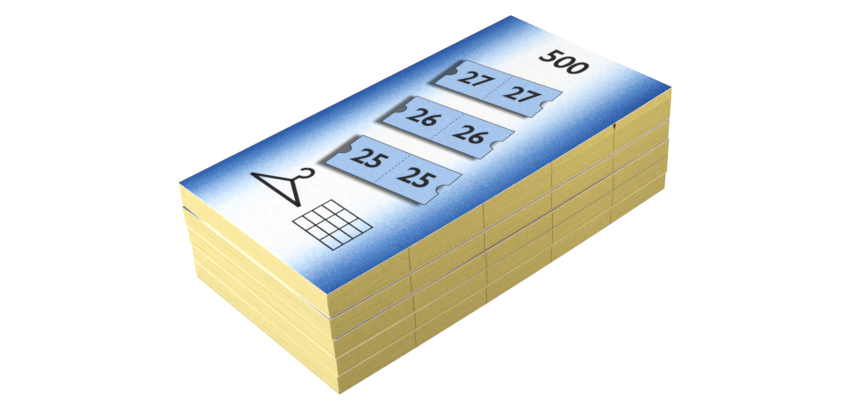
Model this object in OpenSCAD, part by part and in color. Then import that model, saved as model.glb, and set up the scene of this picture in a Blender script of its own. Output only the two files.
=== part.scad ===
// A pile of cloakroom ticket books. Each book is a stack of ticket sheets between a printed
// cover and a back board, glued along one long edge. Every sheet is cut into rows, and every
// row is perforated into a stub, a counterfoil and a ticket.
// X runs from the spine to the free edge, Y from the foot of the cover to its head, Z up.

/* [Pile] */
// Number of books in the pile
books = 5; // [2:1:5]
// Air between two sheets of each book, bottom book first: the pile presses the lower ones flatter
air = [0.002, 0.003, 0.003, 0.008, 0.027]; // [0:0.001:0.06]
// How much higher the loose sheets of the top book stand at the head than at the foot
top_rise = 4.8; // [0:0.4:8]

/* [Sheet] */
// Width of a sheet at its foot and its head, from the spine to the free edge
sheet_w = 105; // [80:1:140]
// Length of a sheet, from foot to head
sheet_l = 200; // [100:1:280]
// How far the free edge would swell out halfway along; it runs straight from slit to slit
free_bow = 1.2; // [0:0.1:4]
// Thickness of one sheet of paper
leaf_t = 0.085; // [0.06:0.005:0.16]
// Sheets in one book
leaves = 100; // [20:10:200]
// Tickets down one sheet
rows = 5; // [2:1:5]
// Width of the stub that stays in the binding
stub_w = 12; // [6:0.5:20]
// Width of the cut between two rows of tickets
slit_w = 0.25; // [0.1:0.05:0.6]

/* [Perforation] */
// Length of one perforation cut
perf_cut = 1.7; // [0.5:0.1:4]
// Length of the paper tie between two cuts
perf_tie = 0.7; // [0.3:0.1:2]
// How far a perforation cut reaches into the edge on each side of its line
perf_depth = 0.12; // [0.05:0.01:0.3]

/* [Cover and board] */
// Thickness of the printed cover
cover_t = 0.3; // [0.15:0.05:0.6]
// Thickness of the back board
board_t = 0.6; // [0.3:0.1:2]

/* [Binding] */
// Thickness of the glue film on the spine
glue_t = 0.4; // [0.2:0.05:1]
// Running gap between the bead of glue and the edge of the cover that turns on it
hinge_gap = 0.03; // [0.01:0.01:0.1]

/* [Hidden] */
$fn = 64;
// How far a cutting shape runs past what it cuts
past = 1;

// How far each book lies off the pile's centre line, in X and Y, bottom book first
pile_shift = [[0.1, -0.4], [0.4, 0], [0.6, -0.4], [0, -0.4], [-0.6, 0.4]];

row_l = sheet_l / rows;
half_w = (sheet_w - stub_w) / 2;
perf_pitch = perf_cut + perf_tie;
bead_r = glue_t / 2;
// How far the free edge stands out at the slits nearest to the middle
swell = free_bow * (1 - pow((rows % 2) / rows, 2));

// Places across a book: its sheets and its glue film together are centred on X = 0
spine_x = (glue_t - sheet_w - swell) / 2;
stub_x = spine_x + stub_w;
half_x = stub_x + half_w;
free_x = spine_x + sheet_w;
foot_y = -sheet_l / 2;
head_y = sheet_l / 2;
// Where the pieces end that are trimmed along the free edge
untrimmed_x = free_x + swell + past;
function free_at(y) = free_x + free_bow * (1 - pow(y / head_y, 2));

// A smaller pile is made of the upper books of the full one
function place(b) = len(air) - 1 - (books - b);

// Heights in book b above its own underside, at the foot
function cover_z(b) = board_t + leaves * (leaf_t + air[place(b)]);
function book_h(b) = cover_z(b) + cover_t;
function book_z(b) = b == 1 ? 0 : book_z(b - 1) + book_h(b - 1);

// How far the top of book b's sheets has risen at y, and the slope that this makes
function rise(b) = b == books ? top_rise : 0;
function rise_at(b, y) = rise(b) * (y - foot_y) / sheet_l;
function slope(b) = atan(rise(b) / sheet_l);

// The ends of a row of tickets; row 1 is at the head
function row_head(r) = head_y - (r - 1) * row_l - (r > 1 ? slit_w / 2 : 0);
function row_foot(r) = head_y - r * row_l + (r < rows ? slit_w / 2 : 0);

function piece(b, name) = str("book_", b, "_", name);
function top_piece(name, r) = str("book_", books, "_", name, "_", r);

NODES = concat(
    [for (b = [1:books]) each [
        piece(b, "back_board"), piece(b, "spine_glue"), piece(b, "stub_block"), piece(b, "front_cover")]],
    [for (b = [1:books - 1], r = [1:rows]) piece(b, str("ticket_pad_", r))],
    [for (r = [1:rows]) each [
        top_piece("counterfoil_pad", r), top_piece("ticket_pad", r),
        top_piece("top_counterfoil", r), top_piece("top_ticket", r)]]
);
node = "all";
function wanted(name) = node == "all" || node == name;

module in_pile(b) {
    translate([pile_shift[place(b)].x, pile_shift[place(b)].y, book_z(b)]) children();
}

// A block of book b from z0 to z1. Its top follows the rise of the sheets, and so does its
// underside where the block lies on them.
module block(b, x0, x1, y0, y1, z0, z1, on_sheets = false) {
    low0 = z0 + (on_sheets ? rise_at(b, y0) : 0);
    low1 = z0 + (on_sheets ? rise_at(b, y1) : 0);
    translate([x0, 0, 0]) rotate([90, 0, 90]) linear_extrude(x1 - x0)
        polygon([[y0, low0], [y1, low1], [y1, z1 + rise_at(b, y1)], [y0, z1 + rise_at(b, y0)]]);
}

// Trims a piece of book b along the free edge
module trim_free(b) {
    edge = [for (r = [rows:-1:0]) let (y = head_y - r * row_l) [free_at(y), y]];
    intersection() {
        children();
        translate([0, 0, -past]) linear_extrude(book_h(b) + rise(b) + 2 * past) polygon(concat(
            [[spine_x - past, foot_y - past], [free_x, foot_y - past]],
            edge,
            [[free_x, head_y + past], [spine_x - past, head_y + past]]));
    }
}

// The sheets of one row, all but the given number of them at the top
module row_stack(b, x0, x1, r, without = 0) {
    block(b, x0, x1, row_foot(r), row_head(r), board_t, cover_z(b) - without * leaf_t);
}

// The cuts of the perforation line at x, spread evenly over one row
module perforation(b, x, r) {
    cuts = floor((row_head(r) - row_foot(r) - perf_tie) / perf_pitch);
    middle = (row_head(r) + row_foot(r)) / 2;
    for (i = [0:cuts - 1])
        translate([x - perf_depth, middle + (i - (cuts - 1) / 2) * perf_pitch - perf_cut / 2, 0])
            cube([2 * perf_depth, perf_cut, book_h(b) + rise(b) + past]);
}

// One ticket of the top sheet, with the perforation cuts in the edges that it tears along
module leaf(x0, x1, r, torn_edges) {
    top = cover_z(books);
    difference() {
        block(books, x0, x1, row_foot(r), row_head(r), top - leaf_t, top, on_sheets = true);
        for (x = torn_edges) perforation(books, x, r);
    }
}

module back_board(b) {
    color("whitesmoke") in_pile(b) trim_free(b) translate([spine_x, foot_y, 0])
        cube([untrimmed_x - spine_x, sheet_l, board_t]);
}

// The film of glue on the spine ends in a round bead along the cover's edge, on which the cover turns
module spine_glue(b) {
    depth = 2 * (book_h(b) + rise(b));
    color("ivory") in_pile(b) intersection() {
        translate([spine_x - bead_r, foot_y, book_h(b) - bead_r]) rotate([90 + slope(b), 0, 0])
            linear_extrude(4 * sheet_l, center = true) {
                translate([-bead_r, -depth]) square([glue_t, depth]);
                circle(bead_r);
            }
        translate([spine_x - glue_t - past, foot_y, 0])
            cube([glue_t + 2 * past, sheet_l, book_h(b) + rise(b) + past]);
    }
}

// The bound strip of every sheet, which stays in the book when the tickets are torn off
module stub_block(b) {
    color("khaki") in_pile(b) block(b, spine_x, stub_x, foot_y, head_y, board_t, cover_z(b));
}

module front_cover(b) {
    color("royalblue") in_pile(b) trim_free(b)
        block(b, spine_x + hinge_gap, untrimmed_x, foot_y, head_y, cover_z(b), book_h(b), on_sheets = true);
}

// One row of a lower book: counterfoils and tickets, still joined
module ticket_pad(b, r) {
    color("khaki") in_pile(b) trim_free(b) row_stack(b, stub_x, untrimmed_x, r);
}

// The rest of one row of the top book, under its top sheet
module top_book_counterfoil_pad(r) {
    color("khaki") in_pile(books) row_stack(books, stub_x, half_x, r, without = 1);
}

module top_book_ticket_pad(r) {
    color("khaki") in_pile(books) trim_free(books) row_stack(books, half_x, untrimmed_x, r, without = 1);
}

// One row of the top sheet, which tears off at the stub and then in half
module top_counterfoil(r) {
    color("palegoldenrod") in_pile(books) leaf(stub_x, half_x, r, [stub_x, half_x]);
}

module top_ticket(r) {
    color("palegoldenrod") in_pile(books) trim_free(books) leaf(half_x, untrimmed_x, r, [half_x]);
}

for (b = [1:books]) {
    if (wanted(piece(b, "back_board"))) back_board(b);
    if (wanted(piece(b, "spine_glue"))) spine_glue(b);
    if (wanted(piece(b, "stub_block"))) stub_block(b);
    if (wanted(piece(b, "front_cover"))) front_cover(b);
}
for (b = [1:books - 1], r = [1:rows])
    if (wanted(piece(b, str("ticket_pad_", r)))) ticket_pad(b, r);
for (r = [1:rows]) {
    if (wanted(top_piece("counterfoil_pad", r))) top_book_counterfoil_pad(r);
    if (wanted(top_piece("ticket_pad", r))) top_book_ticket_pad(r);
    if (wanted(top_piece("top_counterfoil", r))) top_counterfoil(r);
    if (wanted(top_piece("top_ticket", r))) top_ticket(r);
}
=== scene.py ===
# %% [markdown]
# # A pile of ticket books
# Five pads of yellow ticket paper lie on each other. Each pad has a printed card cover, a white back
# board and a film of glue along one long edge. The CAD frame already holds every size and every
# joint, so this lesson only gives the pile its looks: real sheets, a printed cover, paper and light.

# %% Load the frame
import math
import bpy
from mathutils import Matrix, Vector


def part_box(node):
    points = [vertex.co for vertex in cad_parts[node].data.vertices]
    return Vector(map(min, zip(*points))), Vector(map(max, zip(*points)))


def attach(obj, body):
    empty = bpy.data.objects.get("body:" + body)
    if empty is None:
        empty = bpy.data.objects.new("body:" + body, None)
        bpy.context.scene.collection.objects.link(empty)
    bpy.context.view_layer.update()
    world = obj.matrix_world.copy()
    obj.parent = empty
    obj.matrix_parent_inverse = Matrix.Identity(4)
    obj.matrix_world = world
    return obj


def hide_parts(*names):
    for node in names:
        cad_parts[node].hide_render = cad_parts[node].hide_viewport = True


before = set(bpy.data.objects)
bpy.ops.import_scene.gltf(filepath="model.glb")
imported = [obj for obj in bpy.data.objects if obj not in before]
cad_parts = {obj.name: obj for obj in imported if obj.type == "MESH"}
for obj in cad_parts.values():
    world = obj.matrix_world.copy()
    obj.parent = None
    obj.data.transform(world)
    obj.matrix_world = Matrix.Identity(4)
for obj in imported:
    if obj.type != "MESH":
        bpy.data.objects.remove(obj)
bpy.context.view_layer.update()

from types import SimpleNamespace

import bmesh
import bpy
import numpy as np
from mathutils import Matrix, Vector

MM = 0.001
scene = bpy.context.scene

# %% [markdown]
# ## Measure the books
# Every piece below goes where the CAD nodes are. Their sizes could be typed in, but reading their
# boxes keeps the looks true to the CAD model. The top book's sheets lie loose and stand higher at the
# head than at the foot. That rise is the difference between the top of its stub block, which reaches
# the head, and the underside of its cover at the foot. The free edge of every sheet swells out a
# little, straight from slit to slit.

# %% Measure the books
BOOKS = range(1, 6)
ROWS = range(1, 6)
TOP = 5
FREE_BOW = 1.2 * MM


def measure_book(number):
    """The places of one book: its middle, and its layers at the foot, in metres."""
    board_low, board_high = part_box(f"book_{number}_back_board")
    stub_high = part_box(f"book_{number}_stub_block")[1]
    cover_low, cover_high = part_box(f"book_{number}_front_cover")
    rise = stub_high.z - cover_low.z
    return SimpleNamespace(
        middle_x=(board_low.x + board_high.x) / 2,
        middle_y=(board_low.y + board_high.y) / 2,
        underside=board_low.z,
        board_top=board_high.z,
        sheets_top=cover_low.z,
        rise=rise,
        top=cover_high.z - rise,
    )


book = {number: measure_book(number) for number in BOOKS}
board_low, board_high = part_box("book_1_back_board")
SHEET_W = board_high.x - board_low.x
SHEET_L = board_high.y - board_low.y
BOARD_T = board_high.z - board_low.z
COVER_T = book[1].top - book[1].sheets_top
STUB_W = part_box("book_1_stub_block")[1].x - board_low.x
GLUE_T = board_low.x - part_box("book_1_spine_glue")[0].x
HALF_W = SHEET_W / 2
HALF_L = SHEET_L / 2
SWELL = FREE_BOW * (1 - 1 / len(ROWS) ** 2)

for number in BOOKS:
    print(number, {k: round(v / MM, 2) for k, v in vars(book[number]).items()})

# %% [markdown]
# ## The camera
# The photograph looks down on the pile from beside its free edge, with a normal lens. The azimuth,
# elevation and roll come from fitting the corners of the cover and the lines between the books. A
# camera could be aimed with a constraint, but a matrix from the three angles keeps the roll too.

# %% Make the camera
IMAGE_W = 854
FOCAL_PX = 1212.9
AZIMUTH, ELEVATION, ROLL = (math.radians(a) for a in (50.769, 35.779, 3.660))
PILE_IN_VIEW = Vector((0.02918, -0.06114, -2.84049)) * SHEET_L

back = Vector((
    math.sin(AZIMUTH) * math.cos(ELEVATION),
    -math.cos(AZIMUTH) * math.cos(ELEVATION),
    math.sin(ELEVATION),
))
level = Vector((math.cos(AZIMUTH), math.sin(AZIMUTH), 0))
upright = back.cross(level)
right = level * math.cos(ROLL) - upright * math.sin(ROLL)
up = level * math.sin(ROLL) + upright * math.cos(ROLL)
turn = Matrix((right, up, back)).transposed()

bpy.ops.object.select_all(action="DESELECT")
bpy.ops.object.camera_add()
camera = bpy.context.object
camera.name = "camera"
camera.data.sensor_width = 36
camera.data.lens = FOCAL_PX * camera.data.sensor_width / IMAGE_W
camera.data.clip_start = 0.01
camera.matrix_world = Matrix.Translation(turn @ -PILE_IN_VIEW) @ turn.to_4x4()
scene.camera = camera
print("camera at", [round(v, 3) for v in camera.location], "lens", round(camera.data.lens, 1))

# %% [markdown]
# ## The floor
# The pile lies on a plain white sweep, and its shadow there is faint, as on a light table. A curved
# sweep could be modelled, but a wide plane is enough for a floor that is white all over. The plane
# glows, which keeps the shadow faint without more lights.

# %% Build the floor
FLOOR_SIZE = 16

scene.view_settings.view_transform = "Standard"
scene.view_settings.look = "None"


def new_material(name):
    """A node material, with its Principled shader."""
    material = bpy.data.materials.new(name)
    material.use_nodes = True
    return material, material.node_tree.nodes["Principled BSDF"]


def set_inputs(node, values):
    """Sets the sockets of a node, by name."""
    for name, value in values.items():
        node.inputs[name].default_value = value


bpy.ops.object.select_all(action="DESELECT")
bpy.ops.mesh.primitive_plane_add(size=FLOOR_SIZE)
floor = bpy.context.object
floor.name = "floor"
floor_white, shader = new_material("floor_white")
set_inputs(shader, {
    "Base Color": (0.1, 0.1, 0.1, 1), "Roughness": 0.9, "Specular IOR Level": 0.0,
    "Emission Color": (1, 0.99, 0.985, 1), "Emission Strength": 0.97,
})
floor.data.materials.append(floor_white)
print("floor:", FLOOR_SIZE, "m wide")

# %% [markdown]
# ## The light
# The foot end faces a large soft light and is bright, the cover is lit from above, and the long free
# side is in shade, but less so at its far end, where a small low light stands. A picture of a studio
# could light the pile too. Area lights are chosen, because each can be placed and sized by itself, and
# a wide one gives soft edges. A dim white world fills the rest.

# %% Set the lights
PILE_MIDDLE = (0, 0, 0.03)


def add_light(name, place, size, watts, colour):
    """A square soft light that looks at the pile."""
    bpy.ops.object.light_add(type="AREA", location=place)
    light = bpy.context.object
    light.name = name
    light.data.size = size
    light.data.energy = watts
    light.data.color = colour
    ahead = Vector(PILE_MIDDLE) - Vector(place)
    light.rotation_euler = ahead.to_track_quat("-Z", "Y").to_euler()


world = bpy.data.worlds.new("studio")
world.use_nodes = True
set_inputs(world.node_tree.nodes["Background"], {"Color": (1, 1, 1, 1), "Strength": 0.05})
scene.world = world

add_light("key", (-0.35, -1.25, 0.55), 0.9, 23.0, (0.86, 0.91, 1.0))
add_light("overhead", (-0.1, 0.1, 1.3), 1.2, 10.9, (1, 1, 1))
add_light("far_fill", (0.3, 0.45, 0.12), 0.2, 1.95, (1, 0.98, 0.93))

# %% [markdown]
# ## Wires between shader nodes
# A finish is a network of shader nodes. It could be wired by hand in the Shader Editor, but a pile of
# paper needs many finishes of one kind, so short functions add the nodes and join them. A socket knows
# the node tree that it is in, so the functions only need to be given sockets. The floor's finish has
# just the two nodes that Blender starts with.

# %% Wire shader nodes
def add_node(beside, kind, **settings):
    """A new node in the same tree as another node or socket, with its properties set."""
    node = beside.id_data.nodes.new(kind)
    for name, value in settings.items():
        setattr(node, name, value)
    return node


def join(out, into):
    """A wire from one socket to another."""
    into.id_data.links.new(out, into)


def noise(coordinates, scale, detail=2.0, roughness=0.5):
    """A noise texture on given coordinates; its scale is in cells per metre."""
    node = add_node(coordinates, "ShaderNodeTexNoise")
    set_inputs(node, {"Scale": scale, "Detail": detail, "Roughness": roughness})
    join(coordinates, node.inputs["Vector"])
    return node.outputs["Fac"]


def stretch(value, low, high, to_low=0.0, to_high=1.0, kind="LINEAR"):
    """A value from one range mapped onto another."""
    node = add_node(value, "ShaderNodeMapRange", interpolation_type=kind)
    set_inputs(node, {"From Min": low, "From Max": high, "To Min": to_low, "To Max": to_high})
    join(value, node.inputs["Value"])
    return node.outputs["Result"]


def split_axes(vector):
    """The X, Y and Z of a vector."""
    node = add_node(vector, "ShaderNodeSeparateXYZ")
    join(vector, node.inputs["Vector"])
    return node.outputs


print("nodes of the floor's finish:", [node.name for node in floor_white.node_tree.nodes])

# %% [markdown]
# ## Sums on sockets
# Some finishes depend on where a point lies, such as how far it is under the sloping cover of the top
# book. A band there could be painted on a picture, but Math nodes reckon it out from the coordinates,
# so it follows the slope exactly.

# %% Calculate with sockets
TOP_SLOPE = book[TOP].rise / SHEET_L
TOP_AT_MIDDLE = book[TOP].sheets_top + TOP_SLOPE * (HALF_L - book[TOP].middle_y)
BAND_SOFT = 0.5 * MM


def calculate(operation, first, second):
    """One sum on two sockets or numbers."""
    fixed = (int, float)
    socket = second if isinstance(first, fixed) else first
    node = add_node(socket, "ShaderNodeMath", operation=operation)
    for given, into in ((first, node.inputs[0]), (second, node.inputs[1])):
        if isinstance(given, fixed):
            into.default_value = given
        else:
            join(given, into)
    return node.outputs["Value"]


def product(first, *others):
    """Sockets or numbers multiplied with each other."""
    for other in others:
        first = calculate("MULTIPLY", first, other)
    return first


def band_under_cover(axes, depth):
    """1 in the uppermost band of the top book's sheets, 0 below it."""
    height = calculate("SUBTRACT", axes["Z"], product(axes["Y"], TOP_SLOPE))
    start = TOP_AT_MIDDLE - depth
    return stretch(height, start - BAND_SOFT, start + BAND_SOFT)


print("the top cover slopes by", round(math.degrees(math.atan(TOP_SLOPE)), 2), "degrees")

# %% [markdown]
# ## Colours
# Colours are written here as on screen, from 0 to 255, which is how people judge them. Shaders reckon
# with light instead, so each colour is turned into light first. A ramp gives the tones between several
# colours, a mix lays one over another, and a factor makes one lighter or darker.

# %% Mix colours
def srgb(red, green, blue):
    """A colour that is given as on screen, from 0 to 255, as shader light."""
    parts = [c / 255 for c in (red, green, blue)]
    return tuple(c / 12.92 if c <= 0.04045 else ((c + 0.055) / 1.055) ** 2.4 for c in parts) + (1,)


def two_tone(value, stops):
    """A ramp of screen colours over a value from 0 to 1."""
    node = add_node(value, "ShaderNodeValToRGB")
    ramp = node.color_ramp
    while len(ramp.elements) < len(stops):
        ramp.elements.new(0.5)
    for element, (place, colour) in zip(ramp.elements, stops):
        element.position = place
        element.color = srgb(*colour)
    join(value, node.inputs["Fac"])
    return node.outputs["Color"]


def blend_colours(share, first, second):
    """A mix of two colours, each a socket or a screen colour."""
    node = add_node(share, "ShaderNodeMix", data_type="RGBA")
    join(share, node.inputs["Factor"])
    for given, into in ((first, node.inputs[6]), (second, node.inputs[7])):
        if isinstance(given, tuple):
            into.default_value = srgb(*given)
        else:
            join(given, into)
    return node.outputs[2]


def scale_colour(colour, factor):
    """A colour made lighter or darker by a factor."""
    node = add_node(colour, "ShaderNodeVectorMath", operation="SCALE")
    join(colour, node.inputs[0])
    join(factor, node.inputs["Scale"])
    return node.outputs["Vector"]


print("mid grey as shader light:", [round(c, 3) for c in srgb(128, 128, 128)])

# %% [markdown]
# ## Painted shade on the free side
# The faces of the sheets that look towards the free edge get painted shade. They are a little darker
# than the rest of the paper, the more so the lower they lie and the nearer to the head, and a band under
# the top cover gets a painted highlight. A second material could be put on those faces, but one that
# asks which way a face looks serves every sheet, however it was cut.

# %% Paint shade on the free side
# Painted shade on the free side: its two tones, the darkening low down and towards the head, and the
# painted highlight in the band under the top cover.
SHADED_SIDE_LIGHT = (214, 195, 107)
SHADED_SIDE_DARK = (189, 169, 82)
LOW_SHADE_TOP = 45 * MM
LOW_SHADE = 0.86
HEAD_SHADE_FROM = 45 * MM
HEAD_SHADE = 0.81
HIGHLIGHT_BAND = 5.0 * MM
HIGHLIGHT = 1.2


def tone_free_edge(colour, shade, axes, facing):
    """The colour, with painted shade on the faces that look towards the free edge, and a painted
    highlight under the top cover.
    """
    # Painted shade: the faces that look towards the free edge are darker.
    toned = two_tone(shade, [(0.0, SHADED_SIDE_DARK), (1.0, SHADED_SIDE_LIGHT)])
    # Painted shade, darker towards the bottom.
    toned = scale_colour(toned, stretch(axes["Z"], 0.0, LOW_SHADE_TOP, LOW_SHADE, 1.0))
    # Painted shade, darker towards the head.
    toned = scale_colour(toned, stretch(axes["Y"], HEAD_SHADE_FROM, HALF_L, 1.0, HEAD_SHADE))
    # Painted highlight in the band under the top cover.
    highlight_share = product(band_under_cover(axes, HIGHLIGHT_BAND), stretch(axes["Y"], 0.0, HALF_L))
    toned = scale_colour(toned, stretch(highlight_share, 0.0, 1.0, 1.0, HIGHLIGHT))
    return blend_colours(stretch(facing["X"], 0.3, 0.9), colour, toned)


print("the lowest far end is toned down to", round(LOW_SHADE * HEAD_SHADE, 2))

# %% [markdown]
# ## The slit that gapes
# Slits part the rows of tickets. Shade alone darkens most of them, but one gapes under the top cover,
# and its walls get painted shade, a dark tone. A thin dark mesh could stand in the slit. A tone on the
# walls themselves is chosen, because it goes along when a ticket is torn off.

# %% Paint shade in the slit that gapes
GAPE_AT = HALF_L - SHEET_L / len(ROWS) + book[TOP].middle_y
GAPE_BAND = 2.6 * MM
# Painted shade: this dark tone stands for the shade inside the slit that gapes.
GAPE_SHADE = (84, 50, 26)


def without_sign(value):
    """A value's size, whichever way it points."""
    return calculate("ABSOLUTE", value, 0.0)


def stain_gape(colour, axes, facing):
    """The colour, with painted shade on the walls of the slit that gapes under the top cover."""
    aside = without_sign(calculate("SUBTRACT", axes["Y"], GAPE_AT))
    at_slit = stretch(aside, MM, 2 * MM, 1.0, 0.0)
    wall = stretch(without_sign(facing["Y"]), 0.8, 0.95)
    share = product(band_under_cover(axes, GAPE_BAND), at_slit, wall)
    return blend_colours(share, colour, GAPE_SHADE)


print("the slit that gapes is", round(GAPE_AT / MM, 1), "mm from the pile's middle")

# %% [markdown]
# ## Ticket paper
# Uncoated ticket paper is soft yellow, a little mottled, and each sheet differs by a shade. A picture
# of paper could be wrapped around the sheets, but it would repeat. Noise on Object coordinates gives
# mottling and fibres that never do, and a random value per mesh island gives every sheet its own shade.

# %% Mix the ticket paper
FIBRE_DEPTH = 0.02 * MM
ROUGH_SPREAD = 0.08


def remap(coordinates, values, kind="POINT"):
    """Coordinates that are moved, turned or scaled."""
    node = add_node(coordinates, "ShaderNodeMapping", vector_type=kind)
    set_inputs(node, values)
    join(coordinates, node.inputs["Vector"])
    return node.outputs["Vector"]


def add_bump(shader, height, depth):
    """Fine relief of a stated depth in metres."""
    node = add_node(shader, "ShaderNodeBump")
    set_inputs(node, {"Strength": 1.0, "Distance": depth})
    join(height, node.inputs["Height"])
    join(node.outputs["Normal"], shader.inputs["Normal"])


def paper_look(name, light, dark, grain, rough, per_sheet=0.0, shaded_free_side=False, fades=(), streaks=None):
    """Uncoated paper: mottling, fibres, a shade for each sheet, and perhaps painted shade, other tones
    or streaks.

    A fade is an axis, the places where it starts and ends, and the tone that it leads to.
    """
    material, shader = new_material(name)
    place = add_node(shader, "ShaderNodeTexCoord").outputs["Object"]
    axes = split_axes(place)
    if streaks is not None:
        place = remap(place, {"Scale": (1, streaks, 1)})
    mottle = noise(place, grain, detail=3.0, roughness=0.65)
    shade = stretch(mottle, 0.3, 0.7, 0.0, 1.0 - per_sheet)
    surface = add_node(shader, "ShaderNodeNewGeometry")
    sheet = product(surface.outputs["Random Per Island"], per_sheet)
    shade = calculate("ADD", shade, sheet)
    colour = two_tone(shade, [(0.0, dark), (1.0, light)])
    # Painted shade on the free side, and in the slit that gapes.
    if shaded_free_side:
        facing = split_axes(surface.outputs["Normal"])
        colour = tone_free_edge(colour, shade, axes, facing)
        colour = stain_gape(colour, axes, facing)
    for axis, start, end, tone in fades:
        colour = blend_colours(stretch(axes[axis], start, end), colour, tone)
    join(colour, shader.inputs["Base Color"])
    fibre = noise(place, grain * 4, detail=4.0, roughness=0.7)
    roughness = stretch(fibre, 0.2, 0.8, rough - ROUGH_SPREAD, rough + ROUGH_SPREAD)
    join(roughness, shader.inputs["Roughness"])
    add_bump(shader, fibre, FIBRE_DEPTH)
    set_inputs(shader, {"Specular IOR Level": 0.3})
    return material


yellow_paper = paper_look(
    "yellow_paper", (220, 204, 135), (212, 194, 125), 900, 0.75, per_sheet=0.3, shaded_free_side=True,
)
print(yellow_paper.name, "has", len(yellow_paper.node_tree.nodes), "nodes")

# %% [markdown]
# ## Board, card, glue and ink
# The board and the card are whiter than the paper, and their cut edges are the lines between the books.
# Fades along each edge lead from the creamy core to soiled tones, and on some edges to painted shade.
# The glue is smoother, with streaks of the brush, and lets a little light in. Each finish could be wired
# afresh, but all of them are the same paper with other numbers, so one function mixes them.

# %% Mix the other plain finishes
def board_edge(name, *fades):
    """The cut edge of a board, with fades along it."""
    return paper_look(name, (230, 220, 180), (214, 204, 160), 500, 0.8, fades=fades)


board_white = paper_look("board_white", (246, 244, 240), (226, 222, 214), 500, 0.7)
board_core = board_edge("board_core")
# Painted shade: the lowest board's edge is darker all along, as in shade near the floor.
board_low_shade = paper_look("board_low_shade", (190, 174, 116), (172, 156, 100), 500, 0.8)
# Painted shade: this edge darkens towards the head, as in the gap under the book above.
board_head_shade = board_edge("board_head_shade", ("Y", -0.75 * HALF_L, HALF_L / 10, (126, 113, 84)))
board_soiled = board_edge("board_soiled", ("Y", -0.85 * HALF_L, -HALF_L / 2, (206, 194, 148)))
# Painted shadow: this edge is darker along its middle, then turns cream towards the head.
board_shaded = board_edge(
    "board_shaded",
    ("Y", -0.45 * HALF_L, -HALF_L / 4, (156, 144, 112)),
    ("Y", HALF_L / 2, 0.8 * HALF_L, (206, 194, 148)),
)
soiled = ("X", -HALF_W / 2, HALF_W / 8, (220, 203, 134))
board_foot = board_edge("board_foot", soiled)
card_white = paper_look("card_white", (246, 244, 237), (232, 229, 219), 700, 0.6)
card_core = paper_look("card_core", (244, 238, 216), (230, 222, 196), 700, 0.7)
card_foot = paper_look("card_foot", (238, 228, 190), (226, 214, 172), 700, 0.7, fades=[soiled])
card_cut = paper_look("card_cut", (236, 243, 236), (222, 231, 224), 700, 0.7)
glue_cream = paper_look("glue_cream", (240, 231, 196), (228, 215, 168), 420, 0.34, streaks=0.05)
set_inputs(glue_cream.node_tree.nodes["Principled BSDF"], {
    "Subsurface Weight": 0.15, "Subsurface Radius": (0.6 * MM, 0.5 * MM, 0.3 * MM),
})
ink_black = paper_look("ink_black", (34, 34, 38), (14, 14, 18), 1500, 0.5)
print("materials so far:", len(bpy.data.materials))

# %% [markdown]
# ## Pick and edit
# Every step below picks one object, edits it, and leaves edit mode, as a person would with the mouse. An
# operator acts on all that is selected, so picking starts by letting go of everything.

# %% Pick and edit
def pick(piece):
    """Leaves one object selected and active, or none, in object mode."""
    if bpy.context.mode != "OBJECT":
        bpy.ops.object.mode_set(mode="OBJECT")
    bpy.ops.object.select_all(action="DESELECT")
    if piece is not None:
        piece.select_set(True)
        bpy.context.view_layer.objects.active = piece


def edit(piece, action="DESELECT"):
    """Opens one object in edit mode, with nothing or everything selected."""
    pick(piece)
    bpy.ops.object.mode_set(mode="EDIT")
    bpy.ops.mesh.select_mode(type="VERT")
    bpy.ops.mesh.select_all(action=action)


def leave_edit():
    """Goes back to object mode, which writes the mesh."""
    bpy.ops.object.mode_set(mode="OBJECT")


pick(None)
print("selected now:", len(bpy.context.selected_objects), "objects")

# %% [markdown]
# ## The outline of a sheet
# Board and cover have one outline: a rectangle whose free edge bows out a little, straight from slit to
# slit. A curve could draw it, but a plane that is cut across at the slits only needs the points of
# its free edge pulled in to the bow. A cut that a person would draw with the knife is a bisect here,
# because its plane is stated in numbers. The threshold is small, because the cuts in a ticket are a
# quarter of a millimetre wide.

# %% Cut the outline
CUT_SHARP = 1e-8

row_ends = {}
for row in ROWS:
    low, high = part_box(f"book_1_ticket_pad_{row}")
    row_ends[row] = (low.y - book[1].middle_y, high.y - book[1].middle_y)
slits = [(row_ends[row + 1][1], row_ends[row][0]) for row in ROWS if row < len(ROWS)]


def flat_sheet(name, x0, x1, y0, y1):
    """A plane of stated edges, at height zero, with its place in its mesh."""
    pick(None)
    bpy.ops.mesh.primitive_plane_add(size=1, location=((x0 + x1) / 2, (y0 + y1) / 2, 0))
    sheet = bpy.context.object
    sheet.name = name
    sheet.scale = (x1 - x0, y1 - y0, 1)
    bpy.ops.object.transform_apply(location=True, rotation=True, scale=True)
    return sheet


def points_of(piece):
    """All vertex places, one row each."""
    places = np.empty(len(piece.data.vertices) * 3)
    piece.data.vertices.foreach_get("co", places)
    return places.reshape(-1, 3)


def set_points(piece, places):
    """Writes all vertex places back."""
    piece.data.vertices.foreach_set("co", places.ravel())
    piece.data.update()


def free_edge(y):
    """The free edge's distance from a book's middle, at a slit or an end of the sheet."""
    return HALF_W - SWELL + FREE_BOW * (1 - (y / HALF_L) ** 2)


def bow_free_edge(places):
    """Pulls the points on a straight free edge in to the real, bowed one."""
    free = places[..., 0] > HALF_W - MM
    places[..., 0] += free * (free_edge(places[..., 1]) - HALF_W)
    return places


def bowed_sheet(name, x0):
    """A flat sheet of the outline, from x0 to the bowed free edge."""
    sheet = flat_sheet(name, x0, HALF_W, -HALF_L, HALF_L)
    edit(sheet)
    for low, high in slits:
        bpy.ops.mesh.select_all(action="SELECT")
        bpy.ops.mesh.bisect(plane_co=(0, (low + high) / 2, 0), plane_no=(0, 1, 0), threshold=CUT_SHARP)
    leave_edit()
    set_points(sheet, bow_free_edge(points_of(sheet)))
    return sheet


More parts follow.
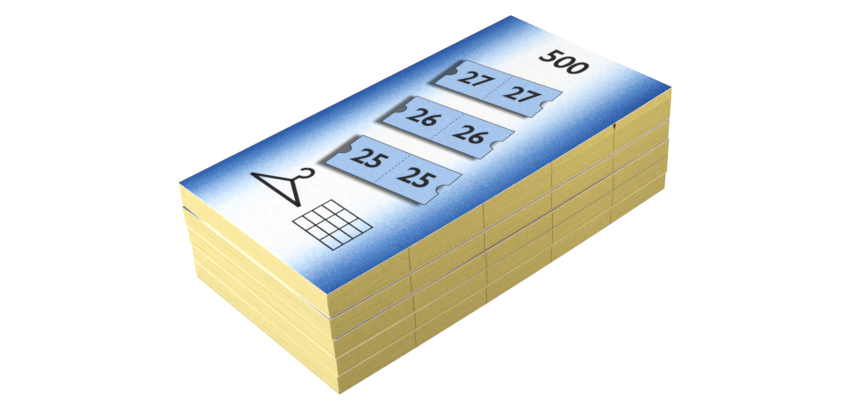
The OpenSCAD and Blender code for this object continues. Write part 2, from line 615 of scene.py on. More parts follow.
board = bowed_sheet("board", -HALF_W)
print("outline:", len(board.data.vertices), "points; slits at", [round(a / MM, 2) for a, b in slits])

# %% [markdown]
# ## The back boards
# Each book lies on a white board, of which only the cut edge shows as a thin line. A cube could be
# scaled to a board, but the outline is already drawn, so it is extruded. A small bevel keeps its edge
# from looking like a knife.

# %% Model the back board
BOARD_BEVEL = 0.07 * MM
SHARP_ANGLE = math.radians(50)


def thicken(sheet, thickness):
    """Extrudes a flat sheet upwards into a closed solid."""
    edit(sheet, "SELECT")
    bpy.ops.mesh.extrude_region_move(TRANSFORM_OT_translate={"value": (0, 0, thickness)})
    bpy.ops.mesh.select_all(action="SELECT")
    bpy.ops.mesh.normals_make_consistent(inside=False)
    leave_edit()


def apply_modifier(piece, kind, **settings):
    """Adds a modifier, sets it and applies it."""
    pick(piece)
    modifier = piece.modifiers.new(kind.title(), kind)
    for name, value in settings.items():
        setattr(modifier, name, value)
    bpy.ops.object.modifier_apply(modifier=modifier.name)


def round_edges(piece, width, segments):
    """Bevels the sharp edges of a mesh."""
    apply_modifier(
        piece, "BEVEL", width=width, segments=segments, limit_method="ANGLE", angle_limit=SHARP_ANGLE,
    )


thicken(board, BOARD_T)
round_edges(board, BOARD_BEVEL, segments=2)
print("board:", len(board.data.polygons), "faces")

# %% [markdown]
# The five boards are alike, so one is modelled and copied. Their edges differ: the lowest is darker all
# along with painted shade, the second yellows, the third has painted shade that deepens towards the
# head, the fourth has a painted shadow line along its middle, and the feet of two of them fade. A copy's
# points are moved, not its object, so that every object stays at the origin.

# %% Lay the back boards
def copy_of(piece, name):
    """A copy with a mesh of its own."""
    pick(piece)
    bpy.ops.object.duplicate(linked=False)
    copy = bpy.context.object
    copy.name = name
    copy.data.name = name
    return copy


def remove(piece):
    """Deletes a model that has been copied or used up."""
    pick(piece)
    bpy.ops.object.delete()


def move(piece, x, y, z):
    """Moves a mesh's points, but not its object."""
    set_points(piece, points_of(piece) + (x, y, z))


def dress(piece, upper, edge, under, foot=None):
    """Gives a slab's upper, side and lower faces their finishes, and perhaps those at the foot."""
    for finish in (upper, edge, under, foot or edge):
        piece.data.materials.append(finish)
    for face in piece.data.polygons:
        if abs(face.normal.z) > 0.9:
            face.material_index = 0 if face.normal.z > 0 else 2
        else:
            face.material_index = 3 if face.normal.y < -0.7 else 1


def finish_piece(piece, body, slot, *nodes):
    """Puts a piece under the body that it rides on, and hides the CAD nodes that it stands for; the slot
    is not used.
    """
    pick(None)
    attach(piece, body)
    if nodes:
        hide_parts(*nodes)


board_edges = {1: board_low_shade, 2: board_soiled, 3: board_head_shade, 4: board_shaded, 5: board_core}
board_feet = {2: board_foot, 4: board_foot}

for number in BOOKS:
    piece = copy_of(board, f"board_{number}")
    dress(piece, board_white, board_edges[number], board_white, board_feet.get(number))
    here = book[number]
    move(piece, here.middle_x, here.middle_y, here.underside)
    finish_piece(piece, f"book_{number}", "back_board", f"book_{number}_back_board")
remove(board)
print("boards:", [round(book[n].underside / MM, 2) for n in BOOKS])

# %% [markdown]
# ## One ticket sheet
# A sheet is one piece of paper: a stub along the spine, and five rows of tickets that slits part from
# the free edge up to the stub. A Boolean could cut the slits out of a solid, but bisects of a flat
# plane leave cleaner edges. The slits are cut out of the plane, the corners of the tickets are
# rounded a hair, as wear does, and the sheet gets its thickness last, so that the outline is only
# drawn once.

# %% Model one sheet
LEAF_T = 0.085 * MM
STUB_X = STUB_W - HALF_W
CORNER_WEAR = 0.12 * MM


def select_where(piece, kind, test):
    """In edit mode, selects the faces or the vertices that pass a test."""
    bpy.ops.mesh.select_mode(type=kind)
    bpy.ops.mesh.select_all(action="DESELECT")
    shape = bmesh.from_edit_mesh(piece.data)
    for part in shape.faces if kind == "FACE" else shape.verts:
        part.select_set(test(part))
    shape.select_flush_mode()
    bmesh.update_edit_mesh(piece.data)


def cut_out(sheet, gaps):
    """Cuts rectangular gaps out of a flat sheet: each is (x0, x1, y0, y1)."""
    edit(sheet)
    across = sorted({x for gap in gaps for x in gap[:2]})
    along = sorted({y for gap in gaps for y in gap[2:]})
    for normal, places in (((1, 0, 0), across), ((0, 1, 0), along)):
        for place in places:
            bpy.ops.mesh.select_all(action="SELECT")
            point = [place * n for n in normal]
            bpy.ops.mesh.bisect(plane_co=point, plane_no=normal, threshold=CUT_SHARP)

    def in_gap(face):
        x, y, _ = face.calc_center_median()
        return any(a < x < b and c < y < d for a, b, c, d in gaps)

    select_where(sheet, "FACE", in_gap)
    bpy.ops.mesh.delete(type="FACE")
    bpy.ops.mesh.select_all(action="SELECT")
    bpy.ops.mesh.dissolve_limited(angle_limit=0.001)
    leave_edit()


sheet = flat_sheet("sheet", -HALF_W, HALF_W, -HALF_L, HALF_L)
cut_out(sheet, [(STUB_X, HALF_W + MM, low, high) for low, high in slits])
edit(sheet)
select_where(sheet, "VERT", lambda point: abs(abs(point.co.x) - HALF_W) < CUT_SHARP)
bpy.ops.mesh.bevel(offset=CORNER_WEAR, segments=1, affect="VERTICES")
leave_edit()
set_points(sheet, bow_free_edge(points_of(sheet)))
thicken(sheet, LEAF_T)
sheet.data.materials.append(yellow_paper)
print("one sheet:", len(sheet.data.vertices), "points")

# %% [markdown]
# ## The loose sheets of the top book
# Nothing presses the top book flat. Its uppermost sheets are drawn back along the free edge, which
# rounds it, near the foot that edge is a little hollow, and the first slit gapes under the cover. A
# lattice could push the sheets into this shape, but moving their points by rule is more exact, and the
# same rules then serve the single sheet on top.

# %% Loosen the top book
LEAVES = 100
ROUNDED_SHEETS = 26
ROUND_AT_FOOT = 0.15 * MM
ROUND_AT_HEAD = 0.35 * MM
ROUND_POWER = 1.6
HOLLOW_AT_FOOT = 0.6 * MM
OPEN_SLIT = 0.6 * MM
SLIT_REACH = 0.35 * MM
GAPE_GROWTH = 3
GAPE_DELAY = 0.5


def drawn_back(y):
    """How far the top sheet is drawn back from the free edge at y."""
    return ROUND_AT_FOOT + (ROUND_AT_HEAD - ROUND_AT_FOOT) * (y + HALF_L) / SHEET_L


def loosen_top(places, share):
    """Draws the sheets of the top book back along the free edge, and opens the slit that gapes."""
    free = places[..., 0] > HALF_W - SWELL - MM
    depth = np.clip((share * LEAVES - (LEAVES - ROUNDED_SHEETS)) / ROUNDED_SHEETS, 0, 1)
    places[..., 0] -= free * depth ** ROUND_POWER * drawn_back(places[..., 1])
    hollow = HOLLOW_AT_FOOT * (HALF_L - places[..., 1]) / SHEET_L
    places[..., 0] -= free * hollow * np.sin(math.pi * share)
    from_slit = places[..., 1] - sum(slits[0]) / 2
    gape = free * (np.abs(from_slit) < SLIT_REACH) * np.clip(depth * GAPE_GROWTH - GAPE_DELAY, 0, 1)
    places[..., 1] += np.sign(from_slit) * gape * OPEN_SLIT


print("the top sheet is drawn back by", round(drawn_back(HALF_L) / MM, 2), "mm at the head")

# %% [markdown]
# ## The pads of sheets
# A pad is a hundred sheets. A block with a striped finish would be lighter, but real sheets catch the
# light one by one. The Array modifier piles them up. A pad that is cut in one stroke still has sheets
# that stand out by a few hundredths of a millimetre, so each sheet is then shifted by a small seeded
# amount. In the top book the sheets fan out towards the head.

# %% Pile the sheets up
EDGE_SCATTER = 0.014 * MM
SHEET_FILL = 0.93
STACK_STEP = 1.1 * LEAF_T
HALVES = ("counterfoil", "ticket")
chance = np.random.RandomState(17)


def repeat(piece, count, step):
    """Makes a row of a mesh, each copy one step on from the last."""
    apply_modifier(
        piece, "ARRAY", count=count, use_relative_offset=False, use_constant_offset=True,
        constant_offset_displace=step,
    )


def pile_up(number, count):
    """A pad of sheets for one book, without its top sheet if count is one short."""
    here = book[number]
    pad = copy_of(sheet, f"book_{number}_sheets")
    repeat(pad, count, (0, 0, STACK_STEP))
    places = points_of(pad).reshape(count, -1, 3)
    upper = (places[..., 2] - places[..., 2].min(axis=1, keepdims=True)) > LEAF_T / 2
    level = (np.arange(count)[:, None] + SHEET_FILL * upper) / count
    places[..., :2] += chance.normal(0, EDGE_SCATTER, (count, 1, 2))
    if number == TOP:
        loosen_top(places, level)
    height = here.sheets_top - here.board_top - (LEAVES - count) * LEAF_T
    rise = here.rise * (places[..., 1] + HALF_L) / SHEET_L
    places[..., 2] = here.board_top + level * (height + rise)
    places[..., :2] += (here.middle_x, here.middle_y)
    set_points(pad, places.reshape(-1, 3))
    return pad


for number in BOOKS:
    pad = pile_up(number, LEAVES - 1 if number == TOP else LEAVES)
    halves = HALVES if number == TOP else ("ticket",)
    nodes = [f"book_{number}_{half}_pad_{row}" for row in ROWS for half in halves]
    finish_piece(pad, f"book_{number}", "ticket_paper", f"book_{number}_stub_block", *nodes)
    print(pad.name, len(pad.data.polygons), "faces")

# %% [markdown]
# ## The top sheet, with its perforations
# The top sheet is the next one to be torn off, so it is made of its own pieces: a stub that stays,
# five counterfoils and five tickets. Rows of short cuts weaken the paper along the two tear lines. A
# picture of dashes would do while the sheet is whole, but torn edges need real cuts. Each half is
# modelled once, with the cuts taken out of its edges.

# %% Cut the halves of the top sheet
PERF_CUT = 1.7 * MM
PERF_PITCH = 2.4 * MM
PERF_DEPTH = 0.12 * MM
CUTS_IN_ROW = 16
INK_ROOM = 0.02 * MM
LEAF_SHOWN = LEAF_T - INK_ROOM
HALF_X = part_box("book_5_counterfoil_pad_1")[1].x - book[TOP].middle_x
MIDDLE_ROW = 3


def cuts_along(x, middle):
    """The perforation cuts of one row on the tear line at x."""
    first = middle - (CUTS_IN_ROW - 1) / 2 * PERF_PITCH - PERF_CUT / 2
    starts = [first + i * PERF_PITCH for i in range(CUTS_IN_ROW)]
    return [(x - PERF_DEPTH, x + PERF_DEPTH, y, y + PERF_CUT) for y in starts]


low, high = row_ends[MIDDLE_ROW]
half_leaf = {}
for half, x0, x1, tears in (
    ("counterfoil", STUB_X, HALF_X, (STUB_X, HALF_X)),
    ("ticket", HALF_X, HALF_W, (HALF_X,)),
):
    leaf = flat_sheet(half, x0, x1, low, high)
    cut_out(leaf, [gap for x in tears for gap in cuts_along(x, (low + high) / 2)])
    thicken(leaf, LEAF_SHOWN)
    leaf.data.materials.append(yellow_paper)
    half_leaf[half] = leaf
    print(half, len(leaf.data.polygons), "faces")

# %% [markdown]
# The stub runs the whole length of the sheet. The halves are copied to the five rows, which differ a
# hair in height, so each copy is stretched to its own row. All these pieces are made flat in the
# book's own middle. They could be turned to lie on its rising sheets, but lifting each point by the
# rise at its place keeps the objects themselves unturned.

# %% Lay the top sheet
LEAF_LOW = book[TOP].sheets_top - LEAF_T


def settle(piece, number, height):
    """Lays a flat piece at a height on a book whose sheets may rise."""
    here = book[number]
    places = points_of(piece)
    places[:, 2] += height + here.rise * (places[:, 1] + HALF_L) / SHEET_L
    places[:, :2] += (here.middle_x, here.middle_y)
    set_points(piece, places)


stub = flat_sheet("top_stub", -HALF_W, STUB_X, -HALF_L, HALF_L)
cut_out(stub, [gap for row in ROWS for gap in cuts_along(STUB_X, sum(row_ends[row]) / 2)])
thicken(stub, LEAF_SHOWN)
stub.data.materials.append(yellow_paper)
settle(stub, TOP, LEAF_LOW)
finish_piece(stub, f"book_{TOP}", "ticket_paper")

for half, model in half_leaf.items():
    for row in ROWS:
        leaf = copy_of(model, f"{half}_leaf_{row}")
        places = points_of(leaf)
        y = (places[:, 1] - low) / (high - low)
        places[:, 1] = row_ends[row][0] + y * (row_ends[row][1] - row_ends[row][0])
        loosen_top(bow_free_edge(places), np.ones(len(places)))
        set_points(leaf, places)
        settle(leaf, TOP, LEAF_LOW)
        finish_piece(leaf, f"top_{half}_{row}", "ticket_paper", f"book_{TOP}_top_{half}_{row}")
    remove(model)
remove(sheet)

# %% [markdown]
# ## The glue on the spine
# Padding glue is brushed on the squared-up spine in a film that dries with soft ripples. The ripples
# could be sculpted by hand, but modifiers make them alike on all five books. A grid stands up against
# the spine, Solidify gives the film its thickness, Displace with a cloud texture ripples it, and a
# Bevel rounds its rim into the bead on which the cover turns.

# %% Brush the glue on
GLUE_RIPPLE = 0.12 * MM
RIPPLE_SIZE = 6 * MM
FILM_SHARE = 0.7
BEAD_SHARE = 0.3

clouds = bpy.data.textures.new("glue_ripple", "CLOUDS")
clouds.noise_scale = RIPPLE_SIZE


def brush_glue(number):
    """The film of glue on one book's spine."""
    here = book[number]
    tall = here.top - here.underside
    pick(None)
    bpy.ops.mesh.primitive_grid_add(
        x_subdivisions=10, y_subdivisions=100, size=1,
        location=(here.middle_x - HALF_W, here.middle_y, here.underside + tall / 2),
        rotation=(0, -math.pi / 2, 0),
    )
    film = bpy.context.object
    film.name = f"glue_{number}"
    film.scale = (tall, SHEET_L, 1)
    bpy.ops.object.transform_apply(location=True, rotation=True, scale=True)
    apply_modifier(film, "SOLIDIFY", thickness=GLUE_T * FILM_SHARE, offset=1.0)
    apply_modifier(
        film, "DISPLACE", texture=clouds, texture_coords="LOCAL", direction="X",
        strength=-GLUE_RIPPLE, mid_level=0.5,
    )
    round_edges(film, GLUE_T * BEAD_SHARE, segments=3)
    places = points_of(film)
    share = (places[:, 2] - here.underside) / tall
    places[:, 2] += share * here.rise * (places[:, 1] - here.middle_y + HALF_L) / SHEET_L
    set_points(film, places)
    pick(film)
    bpy.ops.object.shade_smooth()
    film.data.materials.append(glue_cream)
    return film


for number in BOOKS:
    film = brush_glue(number)
    finish_piece(film, f"book_{number}", "spine_glue", f"book_{number}_spine_glue")
    print(film.name, len(film.data.polygons), "faces")

# %% [markdown]
# ## The printed cover
# The print is a plain blue gradient: deep blue along both long edges, fading to white in the middle,
# with the grain of a cheap print. It could be a picture, but a colour ramp over the distance from the
# nearer long edge has no pixels, and noise added to that distance breaks it up. The print is a little
# uneven: the white is narrower at the head, it bends towards the spine at both ends, and the deepest
# blue is trimmed off along the free edge.

# %% Mix the gradient
FADE = [
    (0.00, (36, 82, 156)), (0.07, (50, 102, 175)), (0.18, (90, 140, 202)), (0.31, (160, 194, 231)),
    (0.42, (206, 227, 246)), (0.57, (244, 248, 250)), (0.74, (252, 250, 246)),
]
SPECKLE = 0.07
WHITE_AT_HEAD = 0.84
PRINT_BEND = 1.4 * MM
TRIM_LIFT = 0.065
TRIM_SLOPE = 0.8
TRIM_MIDDLE = -0.25
TRIM_REACH = 1.15


def trim_print(inwards, along, x):
    """The print's depth, with the deepest blue trimmed off near the free edge, mostly halfway along."""
    aside = calculate("SUBTRACT", along, TRIM_MIDDLE)
    aside = calculate("DIVIDE", aside, TRIM_REACH)
    lift = calculate("SUBTRACT", 1.0, product(aside, aside))
    lift = product(lift, TRIM_LIFT, calculate("GREATER_THAN", x, 0.0))
    trimmed = calculate("ADD", product(inwards, TRIM_SLOPE), lift)
    return calculate("MAXIMUM", inwards, trimmed)


def print_gradient(axes, speckle):
    """The blue of the print, deepest along both long edges."""
    along = calculate("DIVIDE", axes["Y"], HALF_L)
    bend = product(along, along, PRINT_BEND)
    from_middle = without_sign(calculate("ADD", axes["X"], bend))
    from_middle = calculate("DIVIDE", from_middle, HALF_W)
    inwards = calculate("SUBTRACT", 1.0, from_middle)
    narrower = stretch(axes["Y"], 0.0, HALF_L, 1.0, WHITE_AT_HEAD)
    inwards = product(inwards, narrower)
    inwards = trim_print(inwards, along, axes["X"])
    grain = stretch(speckle, 0.2, 0.8, -SPECKLE, SPECKLE)
    return two_tone(calculate("ADD", inwards, grain), FADE)


print("the gradient has", len(FADE), "colours")

# %% [markdown]
# The books above have rubbed the lower covers along the free edge and the foot. Scratches could be
# painted there, but rubbing as fine as this only changes the tone, so a fade along each of the two
# edges is enough.

# %% Rub the lower prints
RUBBED_W = 1.0 * MM
RUBBED_GREY = (194, 181, 166)
RUBBED_SOILED = [
    (0.0, (254, 244, 204)), (0.3, (252, 240, 188)), (0.7, (253, 239, 182)), (1.0, (251, 236, 174)),
]
RUBBED_CLEAN = [
    (0.0, (58, 68, 108)), (0.04, (104, 110, 136)), (0.11, (204, 202, 196)), (0.17, (255, 252, 238)),
    (0.74, (255, 250, 226)), (1.0, (196, 184, 182)),
]


def rub_print(colour, axes, foot_tones):
    """The print as the book above leaves it: rubbed along the free edge and along the foot."""
    free = HALF_W - SWELL
    rubbed = stretch(axes["X"], free - RUBBED_W, free)
    colour = blend_colours(rubbed, colour, RUBBED_GREY)
    across = stretch(axes["X"], -HALF_W, HALF_W)
    at_foot = stretch(axes["Y"], RUBBED_W - HALF_L, 2 * RUBBED_W - HALF_L, 1.0, 0.0)
    return blend_colours(at_foot, colour, two_tone(across, foot_tones))


print("the rubbed edge is", round(RUBBED_W / MM, 2), "mm wide")

# %% [markdown]
# Drawn tickets lie on the print with a soft shadow. It could be a dark mesh, but a mesh has no soft
# edge, so a blurred box per ticket in the material draws it. Only the crisp parts of the print need a
# mesh.

# %% Draw a soft shadow
TICKET_W = 56 * MM
TICKET_H = 26 * MM
SHADOW_OFFSET = (-2.0 * MM, -2.0 * MM)
SHADOW_BLUR = 3.2 * MM


def ticket_shadow(place, centre, angle):
    """1 under a drawn ticket's shadow, falling softly to 0 around it."""
    middle = [at * MM + offset for at, offset in zip(centre, SHADOW_OFFSET)]
    lie = {"Location": (*middle, 0), "Rotation": (0, 0, math.radians(angle))}
    last = remap(place, lie, kind="TEXTURE")
    reach = (TICKET_W / 2 - MM, TICKET_H / 2 - MM, 1)
    steps = (("ABSOLUTE", None), ("SUBTRACT", reach), ("MAXIMUM", (0, 0, 0)), ("LENGTH", None))
    for operation, value in steps:
        node = add_node(place, "ShaderNodeVectorMath", operation=operation)
        join(last, node.inputs[0])
        if value is not None:
            node.inputs[1].default_value = value
        last = node.outputs["Value" if operation == "LENGTH" else "Vector"]
    return stretch(last, 0.0, SHADOW_BLUR, 1.0, 0.0, kind="SMOOTHSTEP")


print("the shadow fades over", round(SHADOW_BLUR / MM, 2), "mm")

# %% [markdown]
# All five covers could share one material. Each book has its own here, because the print is centred on
# its own cover by a Mapping node, and the covers are rubbed in different ways.

# %% Mix the cover prints
TICKETS = [((-7, 46), 10, "27"), ((0, 8), 10, "26"), ((7, -30), 10, "25")]
SHADOW_LIGHT = 0.16
PRINT_DEPTH = 0.008 * MM
SPECKLE_GRAIN = 1100
BLOTCH_GRAIN = 420
BLOTCH_TONES = (0.95, 1.03)
PRINT_ROUGH = (0.42, 0.54)


def print_look(number):
    """The printed side of one book's cover."""
    material, shader = new_material(f"cover_print_{number}")
    coordinates = add_node(shader, "ShaderNodeTexCoord").outputs["Object"]
    place = remap(coordinates, {"Location": (-book[number].middle_x, -book[number].middle_y, 0)})
    axes = split_axes(place)
    speckle = noise(place, SPECKLE_GRAIN, roughness=0.8)
    colour = print_gradient(axes, speckle)
    if number < TOP:
        colour = rub_print(colour, axes, RUBBED_CLEAN if number == TOP - 1 else RUBBED_SOILED)
    dark = 0.0
    for spot, angle, _ in TICKETS:
        dark = calculate("MAXIMUM", dark, ticket_shadow(place, spot, angle))
    blotch = noise(place, BLOTCH_GRAIN, detail=3.0, roughness=0.7)
    tone = stretch(blotch, 0.25, 0.75, *BLOTCH_TONES)
    tone = product(tone, stretch(dark, 0.0, 1.0, 1.0, SHADOW_LIGHT))
    join(scale_colour(colour, tone), shader.inputs["Base Color"])
    join(stretch(speckle, 0.2, 0.8, *PRINT_ROUGH), shader.inputs["Roughness"])
    add_bump(shader, speckle, PRINT_DEPTH)
    set_inputs(shader, {"Specular IOR Level": 0.1})
    return material


cover_prints = {number: print_look(number) for number in BOOKS}
print("prints:", [material.name for material in cover_prints.values()])

# %% [markdown]
# The cover itself is a sheet of card. It could be a bare plane, but its edges get a small bevel here, so
# that the core of the card shows as a fine line under the print, white on the top cover and creamy on
# the others. Only the faces that look up are printed. The top cover lies on sheets that rise, so its
# copy is tilted with them.

# %% Model the covers
PRINT_T = 0.03 * MM
HINGE_GAP = 0.03 * MM
COVER_BEVEL = 0.05 * MM

cover_feet = {1: card_foot, 3: card_foot}
cover_bodies = {number: f"book_{number}" for number in BOOKS}
cover_bodies[TOP] = "top_cover"

cover = bowed_sheet("cover", HINGE_GAP - HALF_W)
thicken(cover, COVER_T - PRINT_T)
round_edges(cover, COVER_BEVEL, segments=2)
for number in BOOKS:
    piece = copy_of(cover, f"cover_{number}")
    settle(piece, number, book[number].sheets_top)
    edge = card_cut if number == TOP else card_core
    dress(piece, cover_prints[number], edge, card_white, cover_feet.get(number))
    finish_piece(piece, cover_bodies[number], "cover_card", f"book_{number}_front_cover")
remove(cover)

# %% [markdown]
# ## The crisp print on the cover
# The drawn tickets, the numerals and the signs have sharp edges. A material could draw them too, but
# thin slabs of ink stay sharp from close by. A drawn ticket is a slab with a round bite at each end,
# taken out by a Boolean. An inset of its upper face leaves a black rim, and the face inside the rim is
# printed light blue.

# %% Draw one ticket
INK_T = 0.01 * MM
RIM = 0.45 * MM
BITE = 3.2 * MM


def ink_slab(name, x, y, width, height, level=0.0):
    """A thin slab of ink at a place on the cover."""
    slab = flat_sheet(name, x - width / 2, x + width / 2, y - height / 2, y + height / 2)
    thicken(slab, INK_T)
    move(slab, 0, 0, level)
    return slab


print_blue = paper_look("print_blue", (176, 205, 238), (158, 190, 230), 900, 0.5)

ticket_face = ink_slab("ticket_face", 0, 0, TICKET_W, TICKET_H)
for side in (-1, 1):
    pick(None)
    bpy.ops.mesh.primitive_cylinder_add(
        vertices=32, radius=BITE, depth=1 * MM, location=(side * TICKET_W / 2, 0, 0),
    )
    bite = bpy.context.object
    apply_modifier(ticket_face, "BOOLEAN", object=bite, operation="DIFFERENCE", solver="EXACT")
    remove(bite)
ticket_face.data.materials.append(ink_black)
ticket_face.data.materials.append(print_blue)
edit(ticket_face)
select_where(ticket_face, "FACE", lambda face: face.normal.z > 0.9)
bpy.ops.mesh.inset(thickness=RIM, depth=0)
ticket_face.active_material_index = 1
bpy.ops.object.material_slot_assign()
leave_edit()
print("ticket:", len(ticket_face.data.polygons), "faces")

# %% [markdown]
# Plain numerals could be built from bars, but a text object has well-drawn ones. It is extruded to the
# thickness of the ink, made a mesh, and only then moved to its place.

# %% Set plain numerals
BOLDNESS = 0.022


def numeral(text, size, x, y, level):
    """Plain numerals as a thin mesh, centred on a place."""
    pick(None)
    bpy.ops.object.text_add()
    sign = bpy.context.object
    sign.data.body = text
    sign.data.size = size
    sign.data.align_x = "CENTER"
    sign.data.align_y = "CENTER"
    sign.data.extrude = INK_T / 2
    sign.data.offset = size * BOLDNESS
    sign.data.resolution_u = 4
    bpy.ops.object.convert(target="MESH")
    move(sign, x, y, level + INK_T / 2)
    edit(sign, "SELECT")
    bpy.ops.mesh.remove_doubles(threshold=1e-7)
    bpy.ops.mesh.normals_make_consistent(inside=False)
    leave_edit()
    return sign


print("the ink is", round(INK_T / MM, 3), "mm thick")

# %% [markdown]
# The tear line of a drawn ticket is a row of dashes, and each half carries the same plain number. Each
# ticket could be drawn where it lies, but it is easier to draw it flat and straight in the middle. The
# three copies are then turned alike and laid in steps across the cover.

# %% Lay the drawn tickets out
DASH = 1.1 * MM
DASH_W = 0.4 * MM
DASHES = 11
DRAWN_NUMBER = 15 * MM
NUMBER_AT = 0.235 * TICKET_W


def join_pieces(pieces, name):
    """Joins several meshes into one."""
    pick(pieces[0])
    for piece in pieces:
        piece.select_set(True)
    bpy.ops.object.join()
    joined = bpy.context.object
    joined.name = name
    joined.data.name = name
    return joined


def draw_ticket(centre, angle, text):
    """A drawn ticket in its place: its face, and the ink on it."""
    face = copy_of(ticket_face, "face")
    dash = ink_slab("dash", 0, -TICKET_H / 2 + 2 * DASH, DASH_W, DASH, INK_T)
    repeat(dash, DASHES, (0, 2 * DASH, 0))
    marks = [dash]
    for side in (-1, 1):
        marks.append(numeral(text, DRAWN_NUMBER, side * NUMBER_AT, 0, INK_T))
    ink = join_pieces(marks, "ink")
    turn = Matrix.Rotation(math.radians(angle), 4, "Z")
    turn.translation = (centre[0] * MM, centre[1] * MM, 0)
    for piece in (face, ink):
        piece.data.transform(turn)
    return face, ink


faces, inks = zip(*[draw_ticket(*ticket) for ticket in TICKETS])
drawn_tickets = join_pieces(list(faces), "drawn_tickets")
remove(ticket_face)
print("drawn tickets:", len(drawn_tickets.data.polygons), "faces")

# %% [markdown]
# At the foot of the cover is a coat hanger, the plainest sign for a cloakroom. It could be one bent
# curve with a thickness. Bars of ink for its rail, arms and neck, and an extruded arc for its hook,
# give it the blunt joints of a printed sign.

# %% Draw the hanger
HANGER_AT = (-18 * MM, -74 * MM)
HANGER_W = 34 * MM
HANGER_LINE = 1.9 * MM
HANGER_TIP = 9 * MM
HANGER_NECK = 13 * MM
HOOK_R = 3.2 * MM
BLUNT = 0.6


def ink_line(start, end, width):
    """A bar of ink with blunt ends from one point to another."""
    run = Vector(end) - Vector(start)
    bar = ink_slab("bar", 0, 0, run.length + width * BLUNT, width)
    place = Matrix.Translation(((start[0] + end[0]) / 2, (start[1] + end[1]) / 2, 0))
    bar.data.transform(place @ Matrix.Rotation(math.atan2(run.y, run.x), 4, "Z"))
    return bar


def draw_hanger():
    """A coat hanger in plain line: rail, two arms, neck and hook."""
    x, y = HANGER_AT
    tip = (x, y + HANGER_TIP)
    neck = (x, y + HANGER_NECK)
    ends = [(x - HANGER_W / 2, y), (x + HANGER_W / 2, y)]
    lines = [ends, (ends[0], tip), (ends[1], tip), (tip, neck)]
    bars = [ink_line(*line, HANGER_LINE) for line in lines]
    pick(None)
    bpy.ops.mesh.primitive_circle_add(vertices=32, radius=HOOK_R - HANGER_LINE / 2, fill_type="NOTHING")
    hook = bpy.context.object
    edit(hook)
    select_where(hook, "VERT", lambda point: max(point.co.xy) < -CUT_SHARP)
    bpy.ops.mesh.delete(type="VERT")
    bpy.ops.mesh.select_all(action="SELECT")
    bpy.ops.mesh.extrude_edges_move()
    grow = (HOOK_R + HANGER_LINE / 2) / (HOOK_R - HANGER_LINE / 2)
    bpy.ops.transform.resize(value=(grow, grow, 1), center_override=(0, 0, 0))
    leave_edit()
    thicken(hook, INK_T)
    move(hook, neck[0], neck[1] + HOOK_R, 0)
    return bars + [hook]


hanger = draw_hanger()
print("hanger:", len(hanger), "pieces of ink")

# %% [markdown]
# Beside the hanger is an empty table. Its lines could be drawn one by one. A grid whose cells are inset
# and deleted leaves all of them at once, and its border is then widened to match.

# %% Draw the table
TABLE_AT = (19 * MM, -72 * MM)
TABLE_SIZE = (27 * MM, 20 * MM)
TABLE_LINE = 0.8 * MM


def draw_table():
    """An empty table of three columns and four rows, in thin lines."""
    pick(None)
    bpy.ops.mesh.primitive_grid_add(x_subdivisions=3, y_subdivisions=4, size=1)
    table = bpy.context.object
    set_points(table, points_of(table) * (*TABLE_SIZE, 1) + (*TABLE_AT, 0))
    edit(table, "SELECT")
    bpy.ops.mesh.inset(thickness=TABLE_LINE / 2, depth=0, use_individual=True)
    bpy.ops.mesh.delete(type="FACE")
    leave_edit()
    places = points_of(table)
    outwards = (places - (*TABLE_AT, 0)) / (TABLE_SIZE[0] / 2, TABLE_SIZE[1] / 2, 1)
    on_border = np.trunc(outwards * 1.0001)
    set_points(table, places + on_border * TABLE_LINE / 2)
    thicken(table, INK_T)
    return table


table = draw_table()
print("table:", len(table.data.polygons), "faces")

# %% [markdown]
# A large plain numeral stands at the head of the cover. The ink could stay in many small pieces, but
# joined into one mesh it is copied to each book in one go, with the drawn tickets. The copies for the
# top cover turn with it.

# %% Copy the crisp print to each book
HEAD_NUMBER = 17 * MM
HEAD_NUMBER_AT = 83 * MM


def join_ink(pieces, name):
    """Joins pieces of ink into one black mesh."""
    joined = join_pieces(pieces, name)
    joined.data.materials.clear()
    joined.data.materials.append(ink_black)
    return joined


marks = [*inks, numeral("500", HEAD_NUMBER, 0, HEAD_NUMBER_AT, 0), *hanger, table]
print_ink = join_ink(marks, "print_ink")
for number in BOOKS:
    for model in (drawn_tickets, print_ink):
        piece = copy_of(model, f"{model.name}_{number}")
        settle(piece, number, book[number].top - PRINT_T)
        finish_piece(piece, cover_bodies[number], "cover_card")
for model in (drawn_tickets, print_ink):
    remove(model)

# %% [markdown]
# ## The numbers on the tickets
# Both halves of a row carry the same number, in a thin frame. They show when the cover is opened, and
# the next sheet's numbers show when a row is torn off. A frame could be four bars, but a plane with
# its middle inset and deleted has no seams at its corners. It is joined with the numerals of its row.

# %% Number the top two sheets
FRAME_IN = 3.5 * MM
FRAME_LINE = 0.35 * MM
TICKET_NUMBER = 14 * MM
NEXT_SUNK = 0.0075 * MM


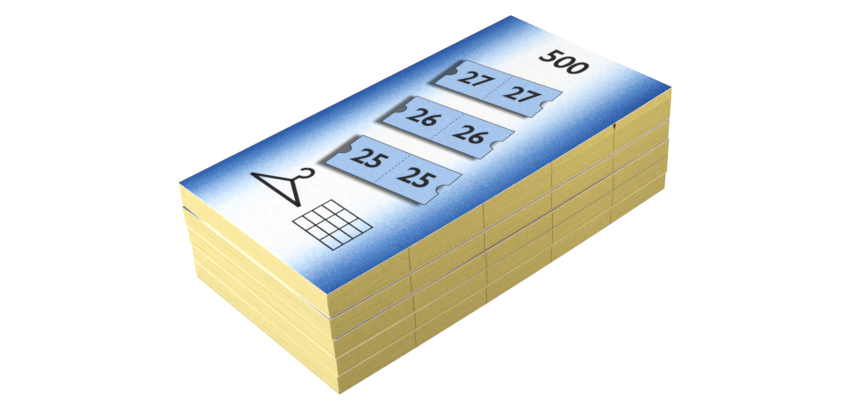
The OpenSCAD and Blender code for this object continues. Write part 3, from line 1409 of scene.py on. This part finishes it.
def numbered(half, row, text):
    """The print on one half of a row, made flat in the book's own middle."""
    x0, x1 = (STUB_X, HALF_X) if half == "counterfoil" else (HALF_X, HALF_W - SWELL)
    y0, y1 = row_ends[row]
    border = flat_sheet("border", x0 + FRAME_IN, x1 - FRAME_IN, y0 + FRAME_IN, y1 - FRAME_IN)
    edit(border, "SELECT")
    bpy.ops.mesh.inset(thickness=FRAME_LINE, depth=0)
    bpy.ops.mesh.delete(type="FACE")
    leave_edit()
    thicken(border, INK_T / 2)
    sign = numeral(text, TICKET_NUMBER, (x0 + x1) / 2, (y0 + y1) / 2, 0)
    places = points_of(sign)
    places[:, 2] /= 2
    set_points(sign, places)
    return join_ink([border, sign], f"{half}_number_{row}")


next_marks = []
for row in ROWS:
    for half in HALVES:
        piece = numbered(half, row, str(row))
        settle(piece, TOP, LEAF_LOW + LEAF_SHOWN)
        finish_piece(piece, f"top_{half}_{row}", "ticket_paper")
        next_marks.append(numbered(half, row, str(row + len(ROWS))))
next_numbers = join_pieces(next_marks, "next_numbers")
settle(next_numbers, TOP, LEAF_LOW - NEXT_SUNK)
finish_piece(next_numbers, f"book_{TOP}", "ticket_paper")
print("numbers:", len(next_numbers.data.polygons), "faces on the next sheet")

# %% [markdown]
# The perforation cuts go through the whole pad, so shade lies deep in them, and the next sheet gets a
# dash of painted shade under each of them. Cuts in its mesh would do as well, but flat dashes of a dark
# finish look the same from above. There is one dash per row and tear line, repeated by an Array
# modifier.

# %% Paint shade under the cuts on the next sheet
# Painted shade: dark dashes stand for the shade inside the deep perforation cuts.
cut_shade_brown = paper_look("cut_shade_brown", (146, 118, 60), (124, 96, 46), 900, 0.85)
cuts = []
for row in ROWS:
    for x in (STUB_X, HALF_X):
        x0, x1, y0, y1 = cuts_along(x, sum(row_ends[row]) / 2)[0]
        dash = flat_sheet("dash", x0, x1, y0, y1)
        thicken(dash, INK_T / 2)
        repeat(dash, CUTS_IN_ROW, (0, PERF_PITCH, 0))
        cuts.append(dash)
next_cut_shade = join_pieces(cuts, "next_cut_shade")
next_cut_shade.data.materials.append(cut_shade_brown)
settle(next_cut_shade, TOP, LEAF_LOW - NEXT_SUNK)
finish_piece(next_cut_shade, f"book_{TOP}", "ticket_paper")
print("cuts:", len(next_cut_shade.data.polygons), "faces")

# %% [markdown]
